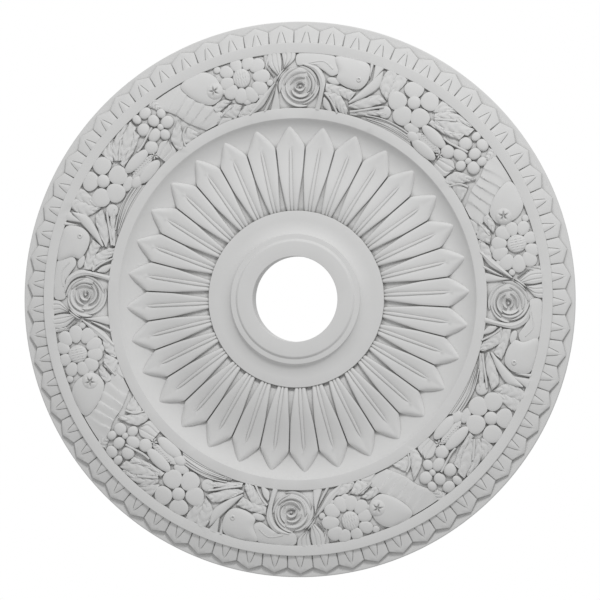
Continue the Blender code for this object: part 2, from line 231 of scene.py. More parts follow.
def gapFloor(radius):
    share = (radius - hubR) / petal["gapLength"]
    sink = petal["gapSink"] + (petal["gapSinkEnd"] - petal["gapSink"]) * share
    return petalMiddle(max(0.0, (radius - petalRootR) / (petalTipR - petalRootR))) - sink


def petalHalfWidth(radius):
    halfPitch = math.tan(math.pi / petal["count"])
    full = radius * halfPitch - petal["gap"] / 2
    if radius > notchR:
        left = (petalTipR - radius) / petal["notch"]
        return (notchR * halfPitch - petal["gap"] / 2) * (1.3 * left - 0.3 * left * left)
    if radius < gapEndR:
        parted = (gapEndR - radius) / petal["gapLength"]
        full -= (hubR * halfPitch - petal["rootHalf"]) * parted ** 1.1
    return full


def onePetal():
    p = petal
    # Across a half: the rib's top, shoulder and foot, the groove, the pillow, and the rounded edge
    ribStops, pillowSteps = (0.0, 0.6, 1.0, 1.3, 1.75), 6
    side = len(ribStops) - 1 + pillowSteps

    def shape(u, s):
        t = 1 - (1 - u) ** 1.1
        radius = petalRootR + (petalTipR - petalRootR) * t
        half = petalHalfWidth(radius)
        left = 1 - ease((t - p["ribEndsAt"] + 0.1) / 0.1)
        rib = p["ribHalf"] + (p["ribEndHalf"] - p["ribHalf"]) * t / p["ribEndsAt"]
        rib = max(0.15, rib * (0.2 + 0.8 * left))
        place = round(abs(s) * side)
        start = min(ribStops[-1] * rib, half * 0.35)
        if place < len(ribStops):
            aside = ribStops[place] / ribStops[-1] * start
            lift = (p["ribRise"], p["ribRise"] * 0.85, 0.1, -p["groove"], -0.1)[place] * left
            belly = 0.0
        else:
            share = (place - len(ribStops) + 1) / pillowSteps
            aside = start + (half - start) * math.sin(math.pi / 2 * share)
            lift = 0.0
            belly = (aside - start) / (half - start) if half > start else 0.0
        depth = petalMiddle(t) + lift
        depth += p["pillow"] * (1 - 0.35 * t) * math.sin(math.pi * min(1.0, 0.08 + belly * 0.8)) ** 0.9
        depth -= p["edgeDrop"] * edgeFall((half - aside) / p["edgeRound"])
        slope = max(0.0, 1 - (half - aside) / p["tipSlope"])
        depth -= p["tipSlopeDrop"] * ease((radius - notchR) / p["tipSlopeStart"]) * slope
        depth -= p["rootDrop"] * max(0.0, 1 - t / 0.08) ** 2
        return Vector((math.copysign(aside, s), radius, depth))

    return sheetOf(p["rows"], 2 * side, shape, p["floor"])


# Border of pointed leaves, each with a raised dart at its root

border = {
    "count": 65, "firstAngle": 2.0, "rootDepth": 13.8, "tipDepth": 7.8, "setback": 6.8, "gap": 0.6,
    "rootTuck": 0.6, "groove": 3.0,
    "pillow": 0.5, "roof": 1.5, "edgeDrop": 0.7, "floor": 2.2,
    "dartLength": 11.2, "dartHalf": 4.4, "dartRise": 0.4, "dartKeel": 0.6, "dartGroove": 0.7,
    "rows": (0, 0.06, 0.2, 0.35, 0.5, 0.6, 0.66, 0.76, 0.88, 0.95, 1.0),
}
shoulderR = borderR - border["setback"]


def borderDepth(radius):
    t = (radius - leafRootR) / section["leafBand"]
    return border["rootDepth"] + (border["tipDepth"] - border["rootDepth"]) * (0.85 * t + 0.15 * t * t)


def borderLeaf():
    b = border
    side = 9

    def shape(u, s):
        u = b["rows"][round(u * (len(b["rows"]) - 1))]
        rootR = leafRootR - b["rootTuck"]
        radius = rootR + (section["leafBand"] + b["rootTuck"] - b["setback"] / 2) * u
        half = radius * math.tan(math.pi / b["count"]) - b["gap"] / 2
        dartShare = max(0.0, 1 - (radius - leafRootR) / b["dartLength"])
        dart = b["dartHalf"] * dartShare ** 0.65
        shown = ease(dartShare * 6)
        stops = (
            (0.0, b["dartRise"] + b["dartKeel"] * dartShare),
            (max(0.08, dart * 0.55), b["dartRise"] + b["dartKeel"] * dartShare * 0.45),
            (max(0.16, dart - 0.1), b["dartRise"] * 0.8), (dart + 0.3, -b["dartGroove"]), (dart + 0.9, 0.0),
        )
        place = round(abs(s) * side)
        if place < len(stops):
            aside, lift = stops[place]
            lift *= shown
        else:
            share = (place - len(stops) + 1) / (side - len(stops) + 1)
            aside = stops[-1][0] + (half - stops[-1][0]) * (1 - (1 - share) ** 1.7)
            lift = b["pillow"] * math.sin(math.pi * min(1.0, share * 0.85))
            lift -= b["edgeDrop"] * (0.0, 0.0, 0.0, 0.12, 1.0)[place - len(stops)]
        lift -= b["roof"] * (aside / half) ** 1.3
        reach = borderR - b["setback"] * aside / half
        radius = rootR + (reach - leafRootR + b["rootTuck"]) * u
        lift -= b["edgeDrop"] * edgeFall((1 - u) * section["leafBand"] / 0.9)
        return Vector((math.copysign(aside, s), radius, borderDepth(radius) + lift))

    return sheetOf(len(b["rows"]) - 1, 2 * side, shape, b["floor"])


# Turned body: hub, bowl, fillets, swelled frieze ground, rim plate and the keyed back

def roundedSection(points):  # of (radius, depth, rounding), with an arc put in where there is a rounding
    out = []
    count = len(points)
    for i, (radius, depth, rounding) in enumerate(points):
        here = Vector((radius, depth))
        if not rounding:
            out.append(here)
            continue
        before = Vector(points[i - 1][:2]) - here
        after = Vector(points[(i + 1) % count][:2]) - here
        reach = min(rounding, before.length * 0.45, after.length * 0.45)
        start = here + before.normalized() * reach
        end = here + after.normalized() * reach
        for step in range(4):
            t = step / 3
            out.append(start * (1 - t) ** 2 + here * 2 * t * (1 - t) + end * t ** 2)
    return out


def bodySection():
    s, r = section, section["round"]
    fillet = s["filletDepth"]
    points = [(holeR, 0, 0.5), (holeR, projection, r), (bossR, projection, 1.0)]
    points += [(ledgeR, ledgeDepth, 0.5), (coveR, ledgeDepth, 0.4)]
    for step in range(1, 9):
        swing = math.pi / 2 * step / 9
        radius = coveR + s["coveRun"] * (1 - math.cos(swing))
        points.append((radius, ledgeDepth - s["coveDrop"] * math.sin(swing), 0))
    points += [(shelfR, shelfDepth, 0), (hubR, shelfDepth, 0.5)]
    for step in range(9):
        radius = hubR + 0.2 + (gapEndR - hubR) * step / 8
        points.append((radius, gapFloor(radius), 0))
    points += [(notchR - 4, s["bowlDepth"] + 0.6, 0), (notchR, s["bowlDepth"] + 0.1, 0)]
    for step in range(12):
        radius = bowlR + s["cavetto"] * step / 12
        points.append((radius, cavettoDepth(radius), 0))
    points += [(innerFilletR - 0.3, cavettoDepth(innerFilletR), 0), (innerFilletR, fillet, 0.5)]
    points += [(friezeInR, fillet, 0.6), (friezeInR + 0.5, s["friezeEdge"], 0)]
    for step in range(1, 16):
        radius = friezeInR + s["frieze"] * step / 16
        points.append((radius, groundDepth(radius), 0))
    points += [(friezeOutR - 0.5, s["friezeEdge"], 0)]
    points += [(friezeOutR, fillet, 0.6), (leafRootR, fillet, 0.7)]
    points += [(leafRootR + 0.3, borderDepth(leafRootR) - border["groove"], 0)]
    points += [(shoulderR - 1, borderDepth(shoulderR - 1) - border["groove"], 0)]
    points += [(shoulderR + 0.5, s["rimDepth"], 0), (outerR, s["rimDepth"], 2.0), (outerR, 0, 0.5)]
    return points


back = {
    "rimLand": 22, "hubLand": 26, "recess": 1.0, "ribWidth": 4, "ribSet": 0.1,
    "ribs": (120, 165, 210, 250),
}


def backSection():
    deep = back["recess"]
    rimStart, hubEnd = outerR - back["rimLand"], holeR + back["hubLand"]
    points = [(rimStart, 0, 0), (rimStart - deep, deep, 0)]
    for rib in reversed(back["ribs"]):
        half = back["ribWidth"] / 2
        points += [(rib + half + deep, deep, 0), (rib + half, back["ribSet"], 0)]
        points += [(rib - half, back["ribSet"], 0), (rib - half - deep, deep, 0)]
    points += [(hubEnd + deep, deep, 0), (hubEnd, 0, 0)]
    return points


def turnedBody():
    bm = bmesh.new()
    outline = roundedSection(bodySection() + backSection())
    ring = [bm.verts.new((0, -point.x, -point.y)) for point in outline]
    edges = [bm.edges.new((ring[i - 1], ring[i])) for i in range(len(ring))]
    bmesh.ops.spin(bm, geom=ring + edges, cent=(0, 0, 0), axis=(0, 0, 1), angle=math.tau,
                   steps=section["segments"], use_merge=True)
    bmesh.ops.recalc_face_normals(bm, faces=bm.faces)
    return bm


# Ornament shapes. Round ones are drawn flat, with their root below z = 0, and then laid on the frieze

rootFloor = -4.0
sheetFloor = 3 - section["friezeEdge"]
degreeRun = math.radians(1) * friezeMidR


# A round or oval swelling. A lower fullness gives steeper sides and a flatter top
def dome(radius, rise, squash=1.0, fullness=0.75, segments=24, rings=12):
    bm = bmesh.new()
    bmesh.ops.create_uvsphere(bm, u_segments=segments, v_segments=rings, radius=1)
    for v in bm.verts:
        height = rise * v.co.z ** fullness if v.co.z > 0 else -rootFloor * v.co.z
        v.co = Vector((v.co.x * radius, v.co.y * radius * squash, height))
    return bm


def blend(a, b, c, d, f):  # a smooth step from b to c, with their neighbours a and d
    place = []
    for p, q, r, s in zip(a, b, c, d):
        bend, turn = 2 * p - 5 * q + 4 * r - s, 3 * q - p - 3 * r + s
        place.append(0.5 * (2 * q + (r - p) * f + bend * f ** 2 + turn * f ** 3))
    return place


def curvePoint(points, t):  # on a smooth line through the points, t from 0 to 1
    place = t * (len(points) - 1)
    i, last = min(int(place), len(points) - 2), len(points) - 1
    return blend(points[max(i - 1, 0)], points[i], points[i + 1], points[min(i + 2, last)], place - i)


def loopPoint(points, t):  # the same on a closed line
    place = t * len(points)
    i, count = int(place) % len(points), len(points)
    after, beyond = points[(i + 1) % count], points[(i + 2) % count]
    return blend(points[i - 1], points[i], after, beyond, place - int(place))


# A swelling with any outline, of (angle, off) points round it
def mound(rise, fullness, outline):
    bm = bmesh.new()
    bmesh.ops.create_uvsphere(bm, u_segments=5 * len(outline), v_segments=12, radius=1)
    middle = [sum(point[axis] for point in outline) / len(outline) for axis in (0, 1)]
    for v in bm.verts:
        edge = loopPoint(outline, math.atan2(v.co.y, v.co.x) / math.tau % 1.0)
        share = v.co.xy.length
        angle, off = [m + (e - m) * share for m, e in zip(middle, edge)]
        radius = betweenFillets(friezeMidR + off)
        lift = rise * v.co.z ** fullness if v.co.z > 0 else -rootFloor * v.co.z
        v.co = onRose(angle, radius, groundDepth(radius) + lift)
    bmesh.ops.recalc_face_normals(bm, faces=bm.faces)
    return bm


# An oval swelling. Before turn, its half-width runs clockwise and its half-height outwards
def swelling(rise, fullness, angle, off, halfWidth, halfHeight, turn):
    return onFrieze(dome(halfWidth, rise, halfHeight / halfWidth, fullness, segments=20), angle, off, turn)


# An egg-shaped petal that points away from the flower's middle, broader at its outer end
def flowerPetal(rise, fullness, middle, angle, off, halfLength, halfWidth):
    bm = dome(halfLength, rise, halfWidth / halfLength, fullness, segments=20)
    for v in bm.verts:
        v.co.y *= 1 + 0.16 * v.co.x / halfLength
    turn = math.degrees(math.atan2(off - middle[1], (angle - middle[0]) * degreeRun))
    return onFrieze(bm, angle, off, turn)


# A dome with a hollow in its top, round or with rays
def crater(radius, rise, fullness, hollow, rays=0):
    bm = dome(radius, rise, fullness=fullness, segments=40, rings=24)
    for v in bm.verts:
        if v.co.z > 0:
            ray = 0.5 + 0.5 * math.cos(rays * math.atan2(v.co.y, v.co.x))
            reach = (0.2 + 0.55 * ray ** 2) * radius if rays else 0.6 * radius
            v.co.z = max(0.05, v.co.z - hollow * (1 - ease(v.co.xy.length / reach)))
    return bm


# A leaf between two edges, from its stalk to its tip. Veins across give it teeth, and it may have
# lines along it or a midrib
def leaf(rise, veins, lines, rib, high, low):

    def shape(u, s):
        s = math.sin(math.pi / 2 * s)
        top, foot = curvePoint(high, u), curvePoint(low, u)
        half = math.hypot((top[0] - foot[0]) * degreeRun, top[1] - foot[1]) / 2
        tooth = 1 - 0.14 * ((u * veins + 0.35) % 1.0) if veins else 1.0
        angle, off = [p + (q - p) * (s * tooth + 1) / 2 for p, q in zip(foot, top)]
        aside = abs(s) * half
        height = rise * (0.72 + 0.28 * (1 - s * s))
        height -= 0.45 * rise * edgeFall((half - aside) / 1.2)
        if veins:
            wave = math.cos(math.tau * (u * veins - abs(s) * 0.8 + 0.5))
            height -= 1.1 * max(0.0, wave) ** 2 * ease((1 - abs(s)) * 6)
        if lines:
            wave = math.cos(math.tau * (s + 1) / 2 * lines)
            height -= 0.9 * max(0.0, wave) ** 4
        if rib:
            shown = ease((1 - u) * 4) * min(1.0, half / 3)
            height += rib * shown * math.exp(-(aside / 0.8) ** 2)
            height -= 0.7 * rib * shown * math.exp(-((aside - 1.7) / 0.7) ** 2)
        radius = friezeMidR + off
        return onRose(angle, radius, groundDepth(radius) + height)

    return sheetOf(max(14, 6 * veins), max(10, 6 * lines), shape, sheetFloor)


def blade(width, rise, bend, stalk, tip):  # a narrow leaf between two places on the frieze
    run, climb = (tip[0] - stalk[0]) * degreeRun, tip[1] - stalk[1]
    length = math.hypot(run, climb)
    high, low = [], []
    for t, share in ((0, 0.25), (0.3, 0.9), (0.6, 1.0), (0.85, 0.6), (1, 0.05)):
        swing = bend * length * math.sin(math.pi * t)
        for side, edge in ((1, high), (-1, low)):
            reach = swing + side * width / 2 * share
            edge.append((stalk[0] + (run * t - climb / length * reach) / degreeRun,
                         stalk[1] + climb * t + run / length * reach))
    return leaf(rise, 0, 0, 0.4, high, low)


def stem(width, rise, points):  # a round stalk through (angle, off) points on the frieze

    def shape(u, s):
        here, ahead = curvePoint(points, u), curvePoint(points, min(1.0, u + 0.01))
        behind = curvePoint(points, max(0.0, u - 0.01))
        run, climb = (ahead[0] - behind[0]) * degreeRun, ahead[1] - behind[1]
        length = math.hypot(run, climb)
        angle = here[0] - climb / length * s * width / 2 / degreeRun
        radius = friezeMidR + here[1] + run / length * s * width / 2
        return onRose(angle, radius, groundDepth(radius) + rise - 1.2 * (1 - math.sqrt(max(0.0, 1 - s * s))))

    return sheetOf(14, 4, shape, sheetFloor)


# One petal of the rose: an arc that climbs to its outer lip and turns over
def curl(radius, width, start, span, base, lip, grow=0.12):

    def shape(u, s):
        angle = math.radians(start + span * u)
        edge = radius * (1 - grow / 2 + grow * u)
        inner = edge - width * (0.35 + 0.65 * math.sin(math.pi * u) ** 0.6)
        reach = inner + (edge - inner) * (s + 1) / 2
        climb = ease((s + 1) / 1.7)
        over = ease((s - 0.72) / 0.28) * 0.4
        ends = math.sin(math.pi * (0.08 + 0.84 * u)) ** 0.35
        height = base + (lip - base) * (climb - over) * ends
        return Vector((reach * math.cos(angle), reach * math.sin(angle), height))

    return sheetOf(16, 8, shape, rootFloor)


# The garland, one repeat. Places are an angle from the rose and a distance off the frieze's middle

garland = {"repeats": 4, "firstAngle": 1.1}
roseCup = {
    "at": (-0.05, -6.2), "radius": 20.4, "rise": 2.2, "squash": 1.02, "fullness": 0.4, "aside": -0.2,
    "budRadius": 1.9, "budRise": 5.4, "budAside": 0.1,
}
# Petals of the rose: aside, outwards, outer radius, width, first angle, span, base and lip
rosePetals = (
    (-1.4, -0.8, 21.2, 5.6, 190, 104, 0.4, 3.4), (-0.6, -0.4, 20.6, 5.6, 280, 84, 0.4, 3.2),
    (-1.6, 0.6, 21.4, 7.4, 96, 104, 0.0, 3.2), (-0.6, 0.6, 20.8, 7.0, 4, 88, 0.0, 3.0),
    (-0.4, -0.4, 16.4, 5.2, 208, 126, 1.4, 4.8), (0.4, 0.8, 16.0, 6.6, -34, 100, 1.2, 4.6),
    (-0.6, 1.8, 16.2, 7.6, 64, 118, 0.8, 4.8), (-1.8, 0.2, 14.6, 5.0, 164, 84, 1.4, 4.8),
    (0.8, 0.8, 11.6, 4.8, -46, 104, 2.2, 5.6), (0.4, -1.8, 10.8, 4.8, 190, 146, 2.4, 6.2),
    (0.0, 1.2, 10.2, 4.2, 58, 118, 2.4, 5.6), (0.0, 0.0, 5.8, 2.8, 20, 200, 4.2, 7.0),
    (0.0, -0.2, 5.6, 2.6, 210, 140, 4.2, 6.8),
)
# Flowers: the petals' rise and fullness, the middle, and each one's angle, off, half-length and half-width
flowers = {
    "fivePetalled": (3.8, 0.24, (30.1, 10.6), (
        (28.5, 22.6, 9.6, 11), (33.1, 20.8, 10.2, 10.8), (33.4, 0.5, 10.8, 10.8),
        (29.2, -7.4, 11, 10.6), (26.2, 4, 10.6, 10.4),
    )),
    "daisy": (4.0, 0.28, (74.9, 9.8), (
        (71.7, 20.6, 8.2, 6.8), (74.3, 24.6, 8, 6.6), (77.1, 24.4, 8.4, 6.8), (79.2, 19.6, 9, 7.6),
        (79.9, 7.6, 10, 7.6), (79, -4.6, 9.4, 7.6), (76.4, -9.8, 9.4, 7), (73.7, -8.4, 8.8, 7.4),
        (71.4, -1.4, 8.8, 7.2), (71.1, 8.8, 8.2, 7),
    )),
}
# Round pieces by kind: rise, fullness, and for each its angle, off, half-width, half-height and turn
roundPieces = {
    "flowerDisc": (5.2, 0.4, ((30.1, 10.6, 7.4, 7.6, 0),)),
    "bud": (4.4, 0.42, ((34.9, -20.7, 7.8, 5.6, 0),)),
    "leafEnd": (3.2, 0.34, ((33.1, -14, 9, 5.4, 12), (24.4, -13.2, 7.2, 7, 0), (8.7, 2.4, 7.6, 3.8, -8))),
    "seedBed": (3.6, 0.2, ((39.4, -15.5, 17.3, 4.6, 0),)),
    "podHusk": (5.1, 0.34, ((39.5, -6.6, 17.4, 6.8, -4), (39.6, -24.4, 16.4, 6.8, 0))),
    "grape": (4.6, 0.46, (
        (47, 25.3, 4.8, 6, 0), (49.5, 24.6, 7.2, 6.4, 0), (46.6, 11.7, 7.4, 7.4, 0), (50, 12.1, 6.4, 7.2, 0),
        (52.6, 13.3, 5, 5.8, 0), (47.8, -0.6, 8.4, 6.6, 15), (52.6, 1.9, 7.4, 7, 0),
        (50.1, -7.5, 5.6, 6.4, 0), (44.9, -8.1, 7.8, 7.6, 0), (50.4, 1.8, 3.6, 4, 0),
    )),
    "smallPetal": (3.2, 0.36, (
        (81.9, -0.8, 3.8, 3.8, 0), (74.9, -16.6, 4.8, 3.4, 0), (78.9, -14.2, 3.6, 3, 0),
        (69.5, 1.2, 2.6, 3.2, 0), (69.6, 26.3, 4.2, 4, 0),
    )),
}
# Larger pieces with their own outline: rise, fullness, and (angle, off) points that a smooth line joins
outlined = {
    "curledLeaf": (3.6, 0.32, (
        (-1, 16.5), (-0.6, 30), (7.5, 30), (9.2, 20), (9.8, 12), (8, 7.2), (5.6, 12), (2.4, 18.3),
    )),
    "orange": (5.6, 0.42, ((8.2, 30), (15.8, 30), (17.4, 14), (16, 0), (12.5, -2), (9.4, 4), (9.4, 14))),
    "pomegranate": (5.4, 0.4, (
        (60, 27), (62.5, 31), (66.5, 30), (69, 17), (69, -2), (65.5, -8), (62.4, 1), (60.4, 15),
    )),
    "daisyBed": (0.9, 0.2, (
        (69.3, 30), (80.5, 30), (82.6, 8), (80, -15), (75, -19), (70.5, -13), (69.2, 8),
    )),
}
# Leaves: rise, veins across, lines along, midrib, one edge and the other, from stalk to tip
leaves = (
    # Long leaf round the rose
    (4, 0, 0, 0.4, ((0.5, 18.5), (4, 16.5), (6.6, 3), (6.5, -14), (6, -30.6)),
     ((0.5, 16.5), (3.6, 9.5), (5.2, -4), (5, -19), (4.3, -30.6))),
    # Fan of fine leaves between the daisy and the rose
    (3.4, 0, 3, 0, ((-1.2, 30.8), (-1.6, 22), (-4, 13)),
     ((-4.8, 30.8), (-4.5, 22), (-4.3, 14))),
    (3.6, 0, 3, 0, ((-4.9, 30.8), (-4.6, 20), (-4.9, 9.5)), ((-8, 30.8), (-8, 18), (-6, 6.5))),
    (3, 0, 2, 0, ((-8.1, 28), (-8.2, 17), (-6.6, 6)), ((-9, 28), (-8.8, 17), (-7, 4.5))),
    (2.8, 0, 3, 0, ((-5.6, 30.8), (-7.4, 21), (-8.6, 12)), ((-9, 30.8), (-9.1, 14))),
    # Long leaves beside the rose
    (4.2, 0, 0, 0.4, ((-16, -30.6), (-12.5, -18.5), (-9.5, -9.5), (-6.7, -0.5)),
     ((-14.5, -30.6), (-11, -24.5), (-8.9, -15.5), (-6.6, -2.5))),
    (3.8, 0, 0, 0.4, ((-11.4, -30.6), (-9, -19), (-7.4, -10.5)),
     ((-10.2, -30.6), (-8.4, -21), (-7.2, -11.5))),
    (3, 0, 0, 0, ((-9.2, -30.6), (-7.5, -15.5), (-6.4, -3)), ((-6.2, -30.6), (-6.1, -20), (-6.3, -4.5))),
    # Saw-edged leaf under the orange, in two lobes, and a small one at its stalk
    (3.8, 4, 0, 0, ((6.8, -0.5), (11.5, -1.5), (15.2, -4)), ((7, -11.5), (11, -12.5), (14, -15.5))),
    (4.2, 5, 0, 0, ((7, -10), (11, -10.5), (14.2, -24)),
     ((7.6, -14), (10, -24), (12.5, -30.6), (14.4, -30.6))),
    (3.2, 0, 0, 0, ((6.9, -15.5), (8.5, -21), (9.8, -30.6)), ((6.5, -19), (6.8, -26), (8.5, -30.6))),
    # Husks right of the orange
    (4, 0, 0, 0, ((17.3, 30.8), (17.6, 15)), ((16.3, 30.8), (17.4, 14))),
    (3.6, 0, 0, 0, ((20, 30.8), (18.7, 13)), ((17.5, 30.8), (18.2, 13))),
    (4.8, 0, 0, 0, ((20.1, 26), (20.5, 9), (18, -6), (14.4, -18)),
     ((19.7, 26.5), (18, 12), (16, -3), (13.8, -16.5))),
    # Leaves between the husks and the flower
    (3.6, 4, 0, 0, ((20.6, 30.8), (20.2, 10), (23.6, -1.5)), ((23.4, 30.8), (23.4, 15), (23.8, -0.5))),
    (3.2, 3, 0, 0, ((26.2, 30.8), (25.6, 16), (23.8, -0.5)), ((22.8, 30.8), (23, 15), (23.4, -1))),
    (4.2, 4, 0, 0, ((14.1, -19), (18, -6), (21, 1.5), (23.5, -2)),
     ((14.2, -22), (18, -20.5), (22, -9.5), (23.6, -3.5))),
    (3.6, 4, 0, 0, ((15.2, -25), (21, -15), (25, -13)), ((15, -30.6), (20, -24.5), (25, -17))),
    (2.8, 0, 4, 0, ((18.8, -27), (27, -19.5), (33, -19)), ((18.5, -30.6), (28, -30.6), (36, -30.6))),
    # Vine leaf in lobes that overlap
    (3.2, 4, 0, 0, ((35.4, 30.8), (39, 30.8), (40, 29)), ((35.2, 12), (37, 18), (39, 26))),
    (3.6, 4, 0, 0, ((35.8, 14), (39, 27.5), (44.6, 30.8)), ((36.7, 8), (40, 18.5), (44.5, 27))),
    (4, 4, 0, 0, ((36.9, 9), (40, 20.5), (45.5, 29.5)), ((37.1, 5), (41.3, 7.5), (45.6, 18.5))),
    (4.2, 4, 0, 0, ((36.3, 7), (41.3, 9.5), (44.8, 19.5)), ((36.1, -0.5), (41, 2.5), (44.9, 9.5))),
    # Leaves under the grapes and beside them
    (3.4, 0, 3, 0, ((44.5, -16.5), (47.5, -10.5), (49.6, -13.5)),
     ((45, -30.6), (49.3, -30.6), (49.7, -17.5))),
    (3.8, 4, 0, 0, ((49.9, -30.6), (50.5, -15), (55.2, -3)), ((52.5, -30.6), (54.5, -16), (55.6, -4))),
    (3.2, 3, 0, 0, ((53.5, -22), (56, -15), (58.8, -30.6)), ((53.2, -30.6), (59, -30.6))),
    (3.2, 3, 0, 0, ((51, 29.5), (52, 19)), ((53.7, 30.8), (53.5, 18.5))),
    # Leaves under the pomegranate and the daisy
    (3.6, 3, 0, 0, ((65.2, -8.5), (68.5, -6), (70.7, -11)), ((65.6, -18.5), (68.5, -15), (70.8, -11.5))),
    (4.4, 4, 0, 0, ((66.3, -21), (70, -13.5), (73.1, -18)), ((66.9, -22.5), (70.2, -30.6), (73.2, -19))),
    (3, 0, 0, 0, ((63.9, -30.6), (66.7, -24), (69.5, -30.6)), ((63.9, -30.6), (69.9, -30.6))),
    (3.8, 4, 0, 0, ((71, -27), (74, -19.5), (78.7, -19.5)), ((71.4, -30.6), (75.7, -30.6), (78.9, -20.5))),
)
# Small blades by the rose: width, rise, bend, stalk and tip
blades = ((3.0, 3.8, 0.04, (-6.4, 0.6), (-4.0, 13.0)), (2.6, 4.2, 0.05, (-5.9, 0.2), (-3.2, 12.4)))
# Stalks: width, rise and path
stalks = (
    (1.8, 4.2, ((2, 19), (5.5, 22), (8, 15))), (2.4, 4.8, ((6.8, -11.5), (8.8, -18.5), (11.3, -30.6))),
    (2.4, 5, ((15, -26), (18.5, -20), (23.6, -8.5))), (2.6, 4.6, ((36.7, 8.5), (41, 22))),
    (2.4, 4.8, ((41.6, -0.5), (44, 0.5), (48.6, 7.5))),
    (2.4, 4.4, ((52.7, -30.6), (53.9, -20.5), (56, -14.5))), (2.2, 4.8, ((66.3, -22.5), (70.8, -16))),
    (1.6, 3.9, ((19.7, -24.5), (26, -20.5), (33, -20.5))),
    (1.6, 3.7, ((20.3, -27), (27, -25), (34.2, -25.5))),
)


def roseFlower():
    cup = roseCup
    angle, off = cup["at"]
    bed = dome(cup["radius"], cup["rise"], cup["squash"], cup["fullness"])
    solids = [onFrieze(bed, angle + cup["aside"], off)]
    for aside, outwards, radius, width, first, span, base, lip in rosePetals:
        bm = curl(radius, width, first, span, base, lip)
        bmesh.ops.translate(bm, vec=(aside, outwards, 0), verts=bm.verts)
        solids.append(onFrieze(bm, angle, off))
    bud = dome(cup["budRadius"], cup["budRise"], segments=12, rings=8)
    return solids + [onFrieze(bud, angle + cup["budAside"], off)]


heart = {
    "at": (74.9, 9.8), "radius": 9.8, "rise": 5.4, "squash": 1.1, "fullness": 0.42,
    "ridge": 0.5, "furrows": 2.3, "sway": 0.9, "beads": 1.3,
}


def daisyHeart():  # wavy furrows with beads along them, which fade towards the edge
    h = heart
    bm = dome(h["radius"], h["rise"], h["squash"], h["fullness"], segments=56, rings=22)
    for v in bm.verts:
        if v.co.z > 1:
            ring = v.co.xy.length / h["radius"]
            furrow = math.cos(v.co.x * h["furrows"] + 0.5 * math.sin(v.co.y * h["sway"]))
            ridges = furrow * (0.6 + 0.4 * math.cos(v.co.y * h["beads"]))
            v.co.z += h["ridge"] * ridges * ease((1.08 - ring) * 5)
    return [onFrieze(bm, *h["at"])]


# Hollow marks on the fruit: place, turn, radius, rise, fullness, depth of the hollow and its rays
hollowMarks = {
    "navel": ((15.0, 9.6), 0, 3.4, 6.9, 0.4, 2.4, 0),
    "crown": ((67.2, 5.6), 18, 10.5, 7.3, 0.75, 3.2, 5),
}


def fruitMarks():  # the orange's navel and the pomegranate's crown
    solids = []
    for at, turn, radius, rise, fullness, hollow, rays in hollowMarks.values():
        solids.append(onFrieze(crater(radius, rise, fullness, hollow, rays), *at, turn))
    return solids


pod = {
    "seeds": 18, "seedRadius": 1.35, "seedRise": 4.4, "firstAngle": 36.4, "run": 6.6,
    "firstOff": -13.2, "zigzag": 1.1, "drop": 2.0,
    "crownAt": (44.0, -17.0), "lobes": 5, "lobeRadius": 2.6, "lobeRise": 4.2, "lobeReach": 2.4,
}


def podSeeds():  # a zigzag row of seeds, and a small crown at the pod's end
    solids = []
    for number in range(pod["seeds"]):
        share = number / (pod["seeds"] - 1)
        off = pod["firstOff"] + pod["zigzag"] * (-1) ** number - pod["drop"] * share
        seed = dome(pod["seedRadius"], pod["seedRise"], segments=8, rings=6)
        solids.append(onFrieze(seed, pod["firstAngle"] + pod["run"] * share, off))
    for number in range(pod["lobes"]):
        bm = dome(pod["lobeRadius"], pod["lobeRise"], squash=0.5, segments=10, rings=6)
        bmesh.ops.translate(bm, vec=(pod["lobeReach"], 0, 0), verts=bm.verts)
        solids.append(onFrieze(bm, *pod["crownAt"], 360 / pod["lobes"] * number))
    return solids


ribbonCloth = {
    "left": ((50.8, 28.4), (52.7, 18), (54.6, 8), (55.8, 0), (56.8, -10), (58.2, -18), (60.6, -28.6)),
    "right": ((60.4, 28.6), (60.5, 20), (61.3, 10), (63.2, 1), (65.2, -9), (67, -19), (69.8, -28.6)),
    "pleats": 6.5, "slant": 1.35, "rise": 2.0, "fold": 1.5, "edgeDrop": 0.8,
}


def ribbon():
    cloth = ribbonCloth

    def shape(u, s):
        side = (s + 1) / 2
        foot, top = curvePoint(cloth["left"], u), curvePoint(cloth["right"], u)
        angle, off = [p + (q - p) * side for p, q in zip(foot, top)]
        phase = (u * cloth["pleats"] + side * cloth["slant"]) % 1.0
        lift = cloth["rise"] + cloth["fold"] * phase ** 1.2 * ease((1 - phase) * 10) * ease(u * 3)
        lift -= cloth["edgeDrop"] * edgeFall((1 - abs(s)) * 12)
        radius = friezeMidR + off
        return onRose(angle, radius, groundDepth(radius) + lift)

    return [sheetOf(72, 14, shape, sheetFloor)]


def growth():  # the outlined and round pieces, flower petals, leaves and stalks
    solids = [mound(*piece) for piece in outlined.values()]
    for rise, fullness, places in roundPieces.values():
        solids += [swelling(rise, fullness, *place) for place in places]
    for rise, fullness, middle, places in flowers.values():
        solids += [flowerPetal(rise, fullness, middle, *place) for place in places]
    solids += [leaf(*piece) for piece in leaves] + [blade(*piece) for piece in blades]
    return solids + [stem(*piece) for piece in stalks]


def garlandSolids():
    solids = []
    for repeat in range(garland["repeats"]):
        angle = garland["firstAngle"] + 360 / garland["repeats"] * repeat
        turn = Matrix.Rotation(math.radians(angle), 4, "Z")
        for bm in roseFlower() + daisyHeart() + fruitMarks() + podSeeds() + ribbon() + growth():
            bm.transform(turn)
            solids.append(bm)
    return solids


